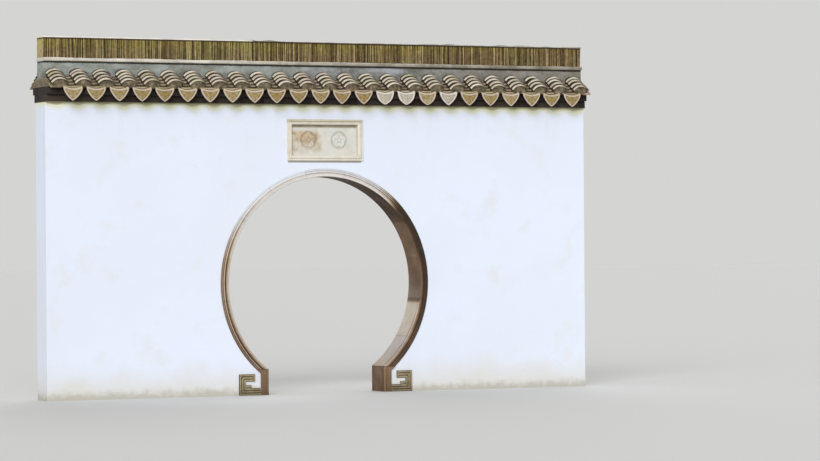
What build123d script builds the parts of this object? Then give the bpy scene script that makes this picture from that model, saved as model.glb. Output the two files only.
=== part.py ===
from build123d import *
import math
import os

# A moon gate in a rendered garden wall, in millimetres.
# The origin is on the ground under the middle of the gate, halfway through the wall.
# X runs along the wall, -Y is the side that a visitor meets first, and Z is up.

# Wall
wall_thickness = 240
haunch_width = 122

# Round opening and the moulded grey-brick lining that frames it
gate_radius = 1000
clear_width_between_feet = 1200
foot_height = 240
lining_width = 78
lining_projection = 16
lining_joint = 0.3
segment_count = 13
arris_width = 6
band_width = 44
band_step = 4
fillet_width = 9
fillet_step = 10
hollow_depth = 3

# Square scrolls on the wall beside the feet
fret_width = 222
fret_height = 197
fret_bar_width = 68
fret_projection = 12
fret_end_gap = 60
fret_groove_width = 4
fret_groove_depth = 4
tongue_length = 56
tongue_height = 22
tongue_gap = 6

# Name plaque above the gate
plaque_width = 786
plaque_height = 388
gap_over_lining = 72
plaque_border_width = 50
plaque_projection = 22
plaque_recess_depth = 42
panel_thickness = 30
border_step_depth = 6
border_step_width = 20
wall_height_over_plaque = 132

# Brick courses that carry the tiles
eave_course_height = 70
eave_course_step = 35
core_shoulder_height = 22

# Tiled slopes of the coping
ridge_base_half_width = 75
eave_overhang = 150
roof_pitch_degrees = 24.8
pan_thickness = 16
tile_pitch = 225
rows_beside_axis = 12
end_margin = 10.5
cover_gap = 46
cover_arch_height = 45
cover_bed_height = 30
cover_bed_inset = 14
cover_lap_rise = 28
cover_setback = 10
drip_gap = 41
drip_height = 130
drip_sag = 22
drip_thickness = 12

# Ridge
ridge_base_height = 161
fillet_height = 36
fillet_half_width = 100
ridge_tile_height = 178
ridge_tile_half_width = 82
cap_height = 20
cap_half_width = 88
ridge_joint_offset = 720

# Sizes that follow from the ones above
wall_half_thickness = wall_thickness / 2
half_gap_between_feet = clear_width_between_feet / 2
foot_drop = math.sqrt(gate_radius**2 - half_gap_between_feet**2)
gate_centre_z = foot_height + foot_drop
lining_radius = gate_radius + lining_width
lining_half_depth = wall_half_thickness + lining_projection
foot_outer_x = half_gap_between_feet + lining_width
lower_joint_angle = -math.degrees(math.asin(foot_drop / gate_radius))
segment_angle = (180 - 2 * lower_joint_angle) / segment_count
plaque_z = gate_centre_z + lining_radius + gap_over_lining
plaque_back_y = plaque_recess_depth + panel_thickness - plaque_projection - wall_half_thickness
wall_top_z = plaque_z + plaque_height + wall_height_over_plaque
core_z = wall_top_z + 2 * eave_course_height
core_half_width = wall_half_thickness + 2 * eave_course_step
shoulder_z = core_z + core_shoulder_height
slope = math.tan(math.radians(roof_pitch_degrees))
eave_y = wall_half_thickness + eave_overhang
slope_run = eave_y - ridge_base_half_width
ridge_base_z = shoulder_z + (core_half_width - ridge_base_half_width) * slope
top_of_pans_z = ridge_base_z + pan_thickness
eave_tile_z = top_of_pans_z - slope_run * slope
cover_run = slope_run - cover_setback
cover_width = tile_pitch - cover_gap
drip_width = tile_pitch - drip_gap
wall_half_length = rows_beside_axis * tile_pitch + cover_width / 2 + end_margin

gate_axis = Axis((0, 0, gate_centre_z), (0, -1, 0))


def save(shape, name):
    export_step(shape, f"parts/{name}.step")


def block(x0, x1, y0, y1, z0, z1):
    """A plain box between two corners."""
    middle = ((x0 + x1) / 2, (y0 + y1) / 2, (z0 + z1) / 2)
    return Pos(*middle) * Box(x1 - x0, y1 - y0, z1 - z0)


def along_wall(section, x0, x1):
    """A section in Y and Z carried along the wall."""
    face = Plane.YZ * make_face(Polyline(*section, close=True))
    return Pos(x0, 0, 0) * extrude(face, x1 - x0)


def gate_hole():
    """What the lining and its feet fill, right through the wall, with the joint behind the curve."""
    depth = 2 * wall_thickness
    round_part = Cylinder(lining_radius + lining_joint, depth, rotation=(90, 0, 0))
    foot_part = block(-foot_outer_x, foot_outer_x, -depth / 2, depth / 2, 0, foot_height)
    return Pos(0, 0, gate_centre_z) * round_part + foot_part


def block_over_gate():
    """The length of wall that spans the gate, from the springing line up."""
    half_width = lining_radius + haunch_width
    half_depth = wall_half_thickness
    return block(-half_width, half_width, -half_depth, half_depth, gate_centre_z, wall_top_z)


def wall_side(side):
    """The wall beside the gate; side is -1 on the left and 1 on the right."""
    ends = sorted((side * foot_outer_x, side * wall_half_length))
    whole = block(*ends, -wall_half_thickness, wall_half_thickness, 0, wall_top_z)
    return whole - block_over_gate() - gate_hole()


def wall_over_gate():
    """The wall above the springing line, with the pocket that the plaque is let into."""
    pocket = block(
        -plaque_width / 2,
        plaque_width / 2,
        -wall_half_thickness,
        plaque_back_y,
        plaque_z,
        plaque_z + plaque_height,
    )
    return block_over_gate() - gate_hole() - pocket


def lining_section():
    """Section of the lining: a proud band, a step, a hollow in two flats and a fillet, on both faces."""
    front = -lining_half_depth
    band_end = gate_radius + band_width
    hollow_end = lining_radius - fillet_width
    hollow_middle = (band_end + hollow_end) / 2
    half = Polyline(
        (gate_radius, 0),
        (gate_radius, front + arris_width),
        (gate_radius + arris_width, front),
        (band_end, front),
        (band_end, front + band_step),
        (hollow_middle, front + (band_step + fillet_step) / 2 + hollow_depth),
        (hollow_end, front + fillet_step),
        (lining_radius, front + fillet_step),
        (lining_radius, 0),
    )
    return make_face(half + mirror(half, Plane.XZ))


def ring_segment(number):
    """One length of the lining, counted from the right foot round to the left one."""
    section = Pos(0, 0, gate_centre_z) * lining_section()
    start = lower_joint_angle + number * segment_angle
    segment = revolve(section.rotate(gate_axis, start), gate_axis, segment_angle)
    bed = block(-2 * gate_radius, 2 * gate_radius, -wall_thickness, wall_thickness, 0, foot_height)
    if number in (0, segment_count - 1):
        segment = segment - bed
    return segment


def foot(side):
    """A straight jamb foot under the lowest joint; its outer edge runs into the lining's curve."""
    ends = sorted((side * half_gap_between_feet, side * lining_radius))
    stock = block(*ends, -lining_half_depth, lining_half_depth, 0, foot_height)
    curve = Pos(0, 0, gate_centre_z) * Cylinder(lining_radius, 2 * wall_thickness, rotation=(90, 0, 0))
    straight = block(-foot_outer_x, foot_outer_x, -wall_thickness, wall_thickness, 0, foot_height)
    shaped = stock & (curve + straight)
    inner_edges = shaped.edges().filter_by(Axis.Z).sort_by(lambda edge: abs(edge.center().X))[:2]
    return chamfer(inner_edges, arris_width)


def strip(start, end, width):
    """A straight bar of a width between two points of its middle line, square at both ends."""
    size_u = abs(end[0] - start[0]) + width
    size_v = abs(end[1] - start[1]) + width
    return Pos((start[0] + end[0]) / 2, (start[1] + end[1]) / 2) * Rectangle(size_u, size_v)


def bars(points, width):
    """Bars that follow a square path."""
    joined = strip(points[0], points[1], width)
    for start, end in zip(points[1:], points[2:]):
        joined += strip(start, end, width)
    return joined


def fret(side, face):
    """A grooved square scroll that leaves the foot along the ground, rises and turns back."""
    half_bar = fret_bar_width / 2
    path = [
        (half_bar, half_bar),
        (fret_width - half_bar, half_bar),
        (fret_width - half_bar, fret_height - half_bar),
        (fret_end_gap + half_bar, fret_height - half_bar),
    ]
    tongue_middle = fret_bar_width + tongue_gap + tongue_height / 2
    tongue_start = (fret_width - half_bar, tongue_middle)
    tongue_end = (fret_width - fret_bar_width - tongue_length + tongue_height / 2, tongue_middle)
    outline = bars(path, fret_bar_width) + strip(tongue_start, tongue_end, tongue_height)
    third = fret_bar_width / 3
    return_x = fret_end_gap + third
    outer_groove = [
        (0, third),
        (fret_width - third, third),
        (fret_width - third, fret_height - third),
        (return_x, fret_height - third),
        (return_x, fret_height - fret_bar_width),
    ]
    inner_groove = [
        (0, 2 * third),
        (fret_width - 2 * third, 2 * third),
        (fret_width - 2 * third, fret_height - 2 * third),
        (return_x, fret_height - 2 * third),
    ]
    grooves = bars(outer_groove, fret_groove_width) + bars(inner_groove, fret_groove_width)
    body = extrude(Plane.XZ * outline, fret_projection)
    cuts = extrude(Plane.XZ * grooves, fret_groove_depth)
    piece = body - Pos(0, fret_groove_depth - fret_projection, 0) * cuts
    piece = Pos(foot_outer_x, -wall_half_thickness, 0) * piece
    if side < 0:
        piece = mirror(piece, Plane.YZ)
    if face > 0:
        piece = mirror(piece, Plane.XZ)
    return piece


def plaque_border_piece(outline):
    """One mitred length of the stepped border that is let into the wall round the panel."""
    front = -wall_half_thickness - plaque_projection
    depth = plaque_back_y - front
    outer = Rectangle(plaque_width, plaque_height)
    step = Rectangle(plaque_width - 2 * border_step_width, plaque_height - 2 * border_step_width)
    inner = Rectangle(plaque_width - 2 * plaque_border_width, plaque_height - 2 * plaque_border_width)
    length = make_face(Polyline(*outline, close=True))
    lower = extrude(Plane.XZ * ((outer - inner) & length), depth - border_step_depth)
    raised = extrude(Plane.XZ * ((step - inner) & length), depth)
    return Pos(0, plaque_back_y, plaque_z + plaque_height / 2) * (lower + raised)


def plaque_borders():
    """The four lengths of the border, by the side that each one closes."""
    half_width = plaque_width / 2
    half_height = plaque_height / 2
    lengths = {}
    for name, end in (("top", 1), ("bottom", -1)):
        lengths[name] = [
            (-half_width, end * half_height),
            (half_width, end * half_height),
            (half_width - plaque_border_width, end * (half_height - plaque_border_width)),
            (plaque_border_width - half_width, end * (half_height - plaque_border_width)),
        ]
    for name, end in (("left", -1), ("right", 1)):
        lengths[name] = [
            (end * half_width, -half_height),
            (end * half_width, half_height),
            (end * (half_width - plaque_border_width), half_height - plaque_border_width),
            (end * (half_width - plaque_border_width), plaque_border_width - half_height),
        ]
    return {name: plaque_border_piece(outline) for name, outline in lengths.items()}


def plaque_panel():
    """The recessed bare panel inside the border."""
    half_width = plaque_width / 2 - plaque_border_width
    return block(
        -half_width,
        half_width,
        plaque_back_y - panel_thickness,
        plaque_back_y,
        plaque_z + plaque_border_width,
        plaque_z + plaque_height - plaque_border_width,
    )


def eave_course(number):
    """A brick course through the wall, each one further out than the one below."""
    reach = wall_half_thickness + (number + 1) * eave_course_step
    base = wall_top_z + number * eave_course_height
    return block(-wall_half_length, wall_half_length, -reach, reach, base, base + eave_course_height)


def coping_core():
    """The bedding under the tiles."""
    section = [
        (-core_half_width, core_z),
        (core_half_width, core_z),
        (core_half_width, shoulder_z),
        (ridge_base_half_width, ridge_base_z),
        (-ridge_base_half_width, ridge_base_z),
        (-core_half_width, shoulder_z),
    ]
    return along_wall(section, -wall_half_length, wall_half_length)


def down_slope(section, run, fall):
    """A section upright against the front of the ridge base, carried outwards as it falls."""
    length = run * math.hypot(1, fall)
    return Pos(0, -ridge_base_half_width, 0) * extrude(section, length, dir=(0, -1, -fall))


def pan_tiles():
    """The front bed of pan tiles, as one sloping course."""
    section = Pos(0, ridge_base_z + pan_thickness / 2) * Rectangle(2 * wall_half_length, pan_thickness)
    return down_slope(Plane.XZ * section, slope_run, slope)


def cover_row():
    """The middle row of arched tiles on their bedding, lapped so that the row falls faster than the pans."""
    half = cover_width / 2
    bed_half = half - cover_bed_inset
    spring = cover_lap_rise + cover_bed_height
    arch = ThreePointArc((-half, spring), (0, spring + cover_arch_height), (half, spring))
    right_side = Polyline((half, spring), (bed_half, spring), (bed_half, 0))
    left_side = mirror(right_side, Plane.YZ)
    bed_line = Line((bed_half, 0), (-bed_half, 0))
    section = Pos(0, top_of_pans_z) * make_face(arch + right_side + bed_line + left_side)
    row = down_slope(Plane.XZ * section, cover_run, slope + cover_lap_rise / cover_run)
    below_pans = Pos(0, top_of_pans_z - cover_lap_rise) * Rectangle(tile_pitch, 2 * cover_lap_rise)
    return row - down_slope(Plane.XZ * below_pans, slope_run, slope)


def cover_tiles():
    """The front rows of cover tiles, one row on the gate's axis."""
    row = cover_row()
    places = range(-rows_beside_axis, rows_beside_axis + 1)
    return Compound([Pos(place * tile_pitch, 0, 0) * row for place in places])


def drip_tiles():
    """The front shield-shaped ends of the pan tiles, hung between the cover rows."""
    half = drip_width / 2
    shoulder = (0.9 * half, -0.33 * drip_height)
    flank = (0.68 * half, -0.54 * drip_height)
    top = ThreePointArc((-half, 0), (0, -drip_sag), (half, 0))
    right = Polyline((half, 0), shoulder, flank, (0, -drip_height))
    shield = make_face(top + right + mirror(right, Plane.YZ))
    rows = []
    for place in range(-rows_beside_axis, rows_beside_axis):
        middle_x = place * tile_pitch + tile_pitch / 2
        section = Plane.XZ * (Pos(middle_x, eave_tile_z) * shield)
        rows.append(Pos(0, -eave_y, 0) * extrude(section, drip_thickness))
    return Compound(rows)


def ridge_layer(x0, x1, half_width, base, height):
    """One layer of the ridge along part of the wall."""
    return block(x0, x1, -half_width, half_width, base, base + height)


def build():
    os.makedirs("parts", exist_ok=True)
    save(wall_side(-1), "left_wall")
    save(wall_side(1), "right_wall")
    save(wall_over_gate(), "wall_over_gate")
    for number in range(segment_count):
        save(ring_segment(number), f"ring_segment_{number + 1:02d}")
    save(foot(-1), "left_foot")
    save(foot(1), "right_foot")
    for side, side_name in ((-1, "left"), (1, "right")):
        for face, face_name in ((-1, "front"), (1, "back")):
            save(fret(side, face), f"{side_name}_{face_name}_fret")
    for name, piece in plaque_borders().items():
        save(piece, f"plaque_{name}_border")
    save(plaque_panel(), "plaque_panel")
    save(eave_course(0), "lower_eave_course")
    save(eave_course(1), "upper_eave_course")
    save(coping_core(), "coping_core")
    for name, piece in (("pan", pan_tiles()), ("cover", cover_tiles()), ("drip", drip_tiles())):
        save(piece, f"front_{name}_tiles")
        save(mirror(piece, Plane.XZ), f"back_{name}_tiles")
    end = wall_half_length
    fillet_z = ridge_base_z + ridge_base_height
    ridge_tile_z = fillet_z + fillet_height
    cap_z = ridge_tile_z + ridge_tile_height
    save(ridge_layer(-end, end, ridge_base_half_width, ridge_base_z, ridge_base_height), "ridge_base")
    save(ridge_layer(-end, end, fillet_half_width, fillet_z, fillet_height), "ridge_fillet")
    for name, x0, x1 in (("left", -end, -ridge_joint_offset), ("right", -ridge_joint_offset, end)):
        tiles = ridge_layer(x0, x1, ridge_tile_half_width, ridge_tile_z, ridge_tile_height)
        save(tiles, f"{name}_ridge_tiles")
        save(ridge_layer(x0, x1, cap_half_width, cap_z, cap_height), f"{name}_ridge_cap")


build()
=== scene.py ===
import math
import bmesh
import bpy
import numpy as np
from mathutils import Matrix, Vector


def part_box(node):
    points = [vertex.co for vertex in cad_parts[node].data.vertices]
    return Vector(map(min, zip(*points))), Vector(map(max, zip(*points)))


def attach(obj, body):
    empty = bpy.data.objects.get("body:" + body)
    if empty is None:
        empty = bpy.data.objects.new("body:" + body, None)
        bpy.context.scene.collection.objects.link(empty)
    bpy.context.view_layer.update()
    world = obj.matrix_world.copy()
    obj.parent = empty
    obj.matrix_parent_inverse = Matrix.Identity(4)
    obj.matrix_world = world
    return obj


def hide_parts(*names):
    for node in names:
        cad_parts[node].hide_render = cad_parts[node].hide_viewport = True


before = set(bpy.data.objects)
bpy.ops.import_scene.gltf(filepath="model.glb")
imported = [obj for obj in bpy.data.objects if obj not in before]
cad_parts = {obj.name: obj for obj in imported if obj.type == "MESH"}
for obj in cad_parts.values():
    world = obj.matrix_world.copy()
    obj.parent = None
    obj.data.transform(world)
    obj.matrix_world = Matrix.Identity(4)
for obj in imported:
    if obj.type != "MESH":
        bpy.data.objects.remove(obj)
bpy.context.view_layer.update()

chance = np.random.default_rng(47)
print("frame loaded:", len(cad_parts), "nodes")


# A socket that adds Math nodes when it stands in an expression
class Wire:
    def __init__(self, owner, socket):
        self.owner, self.socket = owner, socket

    def __add__(self, other):
        return self.owner.maths("ADD", self, other)

    def __radd__(self, other):
        return self.owner.maths("ADD", other, self)

    def __sub__(self, other):
        return self.owner.maths("SUBTRACT", self, other)

    def __rsub__(self, other):
        return self.owner.maths("SUBTRACT", other, self)

    def __mul__(self, other):
        return self.owner.maths("MULTIPLY", self, other)

    def __rmul__(self, other):
        return self.owner.maths("MULTIPLY", other, self)


# sRGB numbers from 0 to 255 as the linear colour that a socket takes
def tint(red, green, blue):
    value = np.array([red, green, blue]) / 255
    return tuple(float(v) for v in np.where(value <= 0.04045, value / 12.92, ((value + 0.055) / 1.055) ** 2.4))


# A material or world, the nodes that make it and its colour so far; colours are given from 0 to 255
class Finish:
    def __init__(self, holder):
        holder.use_nodes = True
        self.holder = holder
        self.tree = holder.node_tree
        self.tree.nodes.clear()

    # adds a node: its settings first, then the values or links of its sockets
    def node(self, kind, settings=None, sockets=None, out=0):
        made = self.tree.nodes.new(kind)
        for key, value in (settings or {}).items():
            if key == "stops":
                ramp = made.color_ramp
                ramp.elements.remove(ramp.elements[1])
                ramp.elements[0].position = value[0][0]
                ramp.elements[0].color = (*tint(*value[0][1:]), 1)
                for place, *shade in value[1:]:
                    ramp.elements.new(place).color = (*tint(*shade), 1)
            else:
                setattr(made, key, value)
        for key, value in (sockets or {}).items():
            if isinstance(value, Wire):
                self.tree.links.new(value.socket, made.inputs[key])
            else:
                made.inputs[key].default_value = value
        return Wire(self, made.outputs[out]) if len(made.outputs) else made

    def maths(self, operation, first, second):
        return self.node("ShaderNodeMath", {"operation": operation}, {0: first, 1: second})

    def place(self):
        return self.node("ShaderNodeTexCoord", out="Object")

    def axis(self, name):
        return self.node("ShaderNodeSeparateXYZ", None, {0: self.place()}, name)

    def mark(self, name):
        return self.node("ShaderNodeAttribute", {"attribute_name": name}, None, "Fac")

    # object coordinates stretched along one axis or another
    def stretched(self, x, y, z):
        return self.node("ShaderNodeMapping", {"vector_type": "POINT"}, {"Vector": self.place(), "Scale": (x, y, z)})

    def noise(self, scale, detail, roughness=0.55, vector=None):
        sockets = {"Vector": vector or self.place(), "Scale": scale, "Detail": detail, "Roughness": roughness}
        return self.node("ShaderNodeTexNoise", None, sockets, "Fac")

    def cells(self, scale, feature="F1", vector=None):
        sockets = {"Vector": vector or self.place(), "Scale": scale}
        return self.node("ShaderNodeTexVoronoi", {"feature": feature}, sockets, "Distance")

    # 0 below the first value, 1 above the second, smooth between
    def step(self, value, low, high):
        settings = {"interpolation_type": "SMOOTHSTEP", "clamp": True}
        return self.node("ShaderNodeMapRange", settings, {"Value": value, "From Min": low, "From Max": high})

    # patches of noise between the two values
    def spots(self, scale, detail, low, high, roughness=0.55):
        return self.step(self.noise(scale, detail, roughness), low, high)

    def blend(self, factor, first, second):
        pair = [value if isinstance(value, Wire) else (*tint(*value), 1) for value in (first, second)]
        return self.node("ShaderNodeMix", {"data_type": "RGBA"}, {0: factor, 6: pair[0], 7: pair[1]}, 2)

    # a stop is its place and its colour
    def ramp(self, value, *stops):
        return self.node("ShaderNodeValToRGB", {"stops": stops}, {"Fac": value})

    # lays a colour over the finish so far, by a mask
    def coat(self, mask, over):
        self.colour = self.blend(mask, self.colour, over)

    def surface(self, roughness, height=None, distance=0.0, strength=1.0, specular=0.5):
        sockets = {"Base Color": self.colour, "Roughness": roughness, "Specular IOR Level": specular}
        if height:
            relief = {"Height": height, "Distance": distance, "Strength": strength}
            sockets["Normal"] = self.node("ShaderNodeBump", None, relief)
        shader = self.node("ShaderNodeBsdfPrincipled", None, sockets)
        self.node("ShaderNodeOutputMaterial", None, {"Surface": shader})
        return self.holder


def material(name):
    return Finish(bpy.data.materials.new(name))


def column(*values):
    return np.array(values, float)[:, None]


# Points from three coordinates, each given as a full grid, a row, a column or one number
def grid(x, y, z):
    return np.stack(np.broadcast_arrays(x, y, z), -1)


# A row of points and then the second row, or the same one, from its end back to its start
def thereAndBack(first, second=None):
    return np.concatenate([first, (first if second is None else second)[..., ::-1]], -1)


# A sum of sines of x with seeded lengths and phases, from about -1 to 1
def wobble(x, waves, shortest, longest):
    length = chance.uniform(shortest, longest, waves)
    phase = chance.uniform(0, 2 * math.pi, waves)
    return np.sin(2 * math.pi * np.asarray(x)[..., None] / length + phase).sum(-1) / math.sqrt(2 * waves)


# Quads between neighbouring points of a grid numbered row by row; closed joins the last column to the first
def gridFaces(rows, columns, closed=True):
    row = np.arange(rows - 1)[:, None] * columns
    near = np.arange(columns if closed else columns - 1)[None, :]
    far = (near + 1) % columns
    corners = [row + near, row + far, row + columns + far, row + columns + near]
    return np.stack(np.broadcast_arrays(*corners), -1).reshape(-1, 4)


# Gathers shapes with their marks, each mark one number or a grid over the points, and makes them one mesh object
class Piece:
    def __init__(self, *marks):
        self.points, self.faces, self.count = [], [], 0
        self.marks = {key: [] for key in marks}

    def add(self, points, faces, marks):
        self.points.append(points.reshape(-1, 3))
        self.faces += [block + self.count for block in faces]
        self.count += len(self.points[-1])
        for key, values in self.marks.items():
            values.append((marks.get(key, 0.0) + np.zeros(points.shape[:2])).ravel())

    # a closed section at each station makes a skin, and the first and last sections close its ends
    def skin(self, sections, **marks):
        stations, count = sections.shape[:2]
        ends = np.stack([np.arange(count)[::-1], np.arange(count) + (stations - 1) * count])
        self.add(sections, [gridFaces(stations, count), ends], marks)

    # a plain block that fills a box, drawn in at its ends and at both faces
    def core(self, low, high, insetX, insetY, **marks):
        x, y = column(low.x + insetX, high.x - insetX), np.array([-1, 1, 1, -1]) * (high.y - insetY)
        self.skin(grid(x, y, np.array([low.z, low.z, high.z, high.z])), **marks)

    # a grid of front points with a rim of points round it at the depth of the back, and one face behind
    def slab(self, front, backY, **marks):
        padded = np.pad(front, ((1, 1), (1, 1), (0, 0)), mode="edge")
        rows, columns = padded.shape[:2]
        number = np.arange(rows * columns).reshape(rows, columns)
        rim = np.concatenate([number[0, :-1], number[:-1, -1], number[-1, :0:-1], number[:0:-1, 0]])
        padded.reshape(-1, 3)[rim, 1] = backY
        marks = {key: np.pad(value + np.zeros(front.shape[:2]), 1, mode="edge") for key, value in marks.items()}
        self.add(padded, [gridFaces(rows, columns, False), rim[None, ::-1]], marks)

    # the object stands at the origin and takes a node's place; mirror is -1 for a shape turned to the other side
    def make(self, name, nodeName, finish, slotName, sharp=38, mirror=1):
        points = np.concatenate(self.points) * [1, mirror, 1]
        sizes = np.concatenate([np.full(len(block), block.shape[1]) for block in self.faces])
        corners = np.concatenate([block.ravel() for block in self.faces])
        mesh = bpy.data.meshes.new(name)
        mesh.vertices.add(len(points))
        mesh.vertices.foreach_set("co", points.astype(np.float32).ravel())
        mesh.loops.add(len(corners))
        mesh.loops.foreach_set("vertex_index", corners.astype(np.int32))
        mesh.polygons.add(len(sizes))
        mesh.polygons.foreach_set("loop_start", (np.cumsum(sizes) - sizes).astype(np.int32))
        mesh.update(calc_edges=True)
        work = bmesh.new()
        work.from_mesh(mesh)
        bmesh.ops.recalc_face_normals(work, faces=work.faces)
        work.to_mesh(mesh)
        work.free()
        for key, values in self.marks.items():
            values = np.concatenate(values).astype(np.float32)
            mesh.attributes.new(key, "FLOAT", "POINT").data.foreach_set("value", values)
        mesh.polygons.foreach_set("use_smooth", np.ones(len(sizes), bool))
        mesh.set_sharp_from_angle(angle=math.radians(sharp))
        mesh.materials.append(finishes[finish])
        made = bpy.data.objects.new(name, mesh)
        bpy.context.scene.collection.objects.link(made)
        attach(made, "root")
        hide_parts(nodeName)


# Camera, lights and stage

view = {
    "place": (-14.117, -29.925, 1.406),
    "yaw": 26.73,  # degrees from +Y towards +X
    "pitch": 0.21,
    "roll": -0.42,
    "lens": 153.66,
    "clip": (1, 400),
}


# The camera looks along its yaw and pitch, and its right and up are turned by the roll about that line
def addCamera():
    yaw, pitch, roll = (math.radians(view[key]) for key in ("yaw", "pitch", "roll"))
    ahead = Vector((math.sin(yaw) * math.cos(pitch), math.cos(yaw) * math.cos(pitch), math.sin(pitch)))
    level = Vector((math.cos(yaw), -math.sin(yaw), 0))
    upright = level.cross(ahead)
    right = math.cos(roll) * level + math.sin(roll) * upright
    up = math.cos(roll) * upright - math.sin(roll) * level
    lens = bpy.data.cameras.new("camera")
    lens.lens, lens.sensor_width = view["lens"], 36
    lens.clip_start, lens.clip_end = view["clip"]
    camera = bpy.data.objects.new("camera", lens)
    bpy.context.scene.collection.objects.link(camera)
    camera.matrix_world = Matrix.Translation(view["place"]) @ Matrix((right, up, -ahead)).transposed().to_4x4()
    bpy.context.scene.camera = camera


stageLight = {
    "mainFrom": (-0.50, -0.74, 0.40),  # from the upper left in front
    "mainStrength": 2.16,
    "mainAngle": 34,
    "backFrom": (0.55, 0.70, 0.45),
    "backStrength": 0.9,
    "backAngle": 50,
    "skyStrength": 0.44,
    "skySeen": (212, 212, 210),
    "floorHalf": 150,
    "floorColour": (215, 215, 213),
}


# Each lamp's own -Z axis is turned to shine from its direction towards the gate
def addLights():
    for name in ("main", "back"):
        data = bpy.data.lights.new(name + "Lamp", "SUN")
        data.energy = stageLight[name + "Strength"]
        data.angle = math.radians(stageLight[name + "Angle"])
        lamp = bpy.data.objects.new(name + "Lamp", data)
        bpy.context.scene.collection.objects.link(lamp)
        lamp.rotation_mode = "QUATERNION"
        lamp.rotation_quaternion = (-Vector(stageLight[name + "From"])).to_track_quat("-Z", "Y")
    world = bpy.data.worlds.new("studio")
    bpy.context.scene.world = world
    sky = Finish(world)
    rays = [sky.node("ShaderNodeLightPath", out=f"Is {kind} Ray") for kind in ("Camera", "Glossy", "Transmission")]
    seen = sky.maths("MAXIMUM", sky.maths("MAXIMUM", rays[0], rays[1]), rays[2])
    light = sky.node("ShaderNodeBackground", None, {"Color": (1, 1, 1, 1), "Strength": stageLight["skyStrength"]})
    pale = sky.node("ShaderNodeBackground", None, {"Color": (*tint(*stageLight["skySeen"]), 1), "Strength": 1.0})
    mixed = sky.node("ShaderNodeMixShader", None, {0: seen, 1: light, 2: pale})
    sky.node("ShaderNodeOutputWorld", None, {"Surface": mixed})


# One large level square just under the gate
def addFloor():
    half = stageLight["floorHalf"]
    mesh = bpy.data.meshes.new("floor")
    mesh.from_pydata([(-half, -half, 0), (half, -half, 0), (half, half, 0), (-half, half, 0)], [], [(0, 1, 2, 3)])
    floor = bpy.data.objects.new("floor", mesh)
    bpy.context.scene.collection.objects.link(floor)
    pale = material("paleFloor")
    pale.colour = (*tint(*stageLight["floorColour"]), 1)
    mesh.materials.append(pale.surface(0.9))


bpy.context.scene.view_settings.view_transform = "Standard"
addCamera()
addLights()
addFloor()
print("camera, lights and floor ready")


# Plaster, brick, tile and lime finishes; pairs of places are where a mark, a stain or a painted shadow, starts and
# where it is full, in metres

stainsAndShadows = {
    "streaked": (2.20, 2.72),
    "eaveShadow": (2.630, 2.695),
    "eaveShadowEdge": (2.694, 2.714),
    "footStain": (0.36, 0.02),
    "splash": (0.10, 0.0),
    "plaqueShadowEnd": (0.386, 0.376),  # the painted shadow line under the plaque
    "plaqueShadowBottom": (2.168, 2.174),
    "plaqueShadowTop": (2.192, 2.190),
    "panelStainTop": (2.49, 2.45),
    "panelStainBottom": (2.255, 2.30),
    "plaqueTop": (2.535, 2.555),
    "shadedLimeEdge": (2.7195, 2.7135),
    "filletShadow": (3.067, 3.076),
    "mossy": (3.17, 3.26),
    "capShadow": (3.284, 3.293),
}


# White lime plaster with a painted shadow of the eave under it, scalloped in time with the tiles, and darker towards
# the ground
def whitePlaster():
    f = material("whitePlaster")
    x, z = f.axis("X"), f.axis("Z")
    cloud = f.noise(3.2, 5, 0.6)
    f.colour = f.blend(f.spots(0.9, 3, 0.35, 0.7) * 0.55, (229, 236, 251), (226, 231, 241))
    f.coat(f.step(cloud, 0.55, 0.8) * 0.5, (222, 221, 214))
    streak = f.noise(1.0, 5, 0.6, f.stretched(9, 9, 0.7))
    f.coat(f.step(streak, 0.52, 0.74) * f.step(z, *stainsAndShadows["streaked"]) * 0.25, (206, 205, 186))
    # painted soft shadow of the eave and its drips: olive, scalloped at the tile pitch, darkest at the wall top
    scallop = f.maths("COSINE", x * (2 * math.pi / slopes["tilePitch"]), 0) * 0.015
    edge = z + scallop + (cloud - 0.5) * 0.05
    f.coat(f.step(edge, *stainsAndShadows["eaveShadow"]) * 0.7, (230, 228, 178))
    f.coat(f.step(edge, *stainsAndShadows["eaveShadowEdge"]) * 0.6, (160, 154, 106))
    f.coat(f.step(z + (cloud - 0.5) * 0.35, *stainsAndShadows["footStain"]) * 0.55, (214, 206, 186))
    f.coat(f.step(z + (f.noise(14, 4) - 0.5) * 0.12, *stainsAndShadows["splash"]) * 0.55, (158, 154, 128))
    crack = f.cells(1.3, "DISTANCE_TO_EDGE", f.stretched(1, 1, 1.4)) + f.noise(9, 3) * 0.02
    crack = f.step(crack, 0.0125, 0.0105) * f.spots(0.7, 2, 0.56, 0.66) * 0.12
    f.coat(crack, (190, 190, 184))
    f.coat(f.spots(60, 2, 0.70, 0.78) * 0.25, (196, 190, 172))
    # painted shadow under the plaque's border, on the front face only
    plaqueShadow = f.step(f.maths("ABSOLUTE", x, 0), *stainsAndShadows["plaqueShadowEnd"]) * f.step(f.axis("Y"), 0.0, -0.05)
    plaqueShadow = plaqueShadow * f.step(z, *stainsAndShadows["plaqueShadowBottom"]) * f.step(z, *stainsAndShadows["plaqueShadowTop"])
    f.coat(plaqueShadow * 0.8, (146, 139, 120))
    height = f.noise(2.6, 4) * 0.6 + f.noise(26, 6, 0.6) * 0.25 + f.noise(160, 3) * 0.06 - crack
    return f.surface(0.86 + (cloud - 0.5) * 0.1, height, 0.004, 0.7, 0.3)
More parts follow.
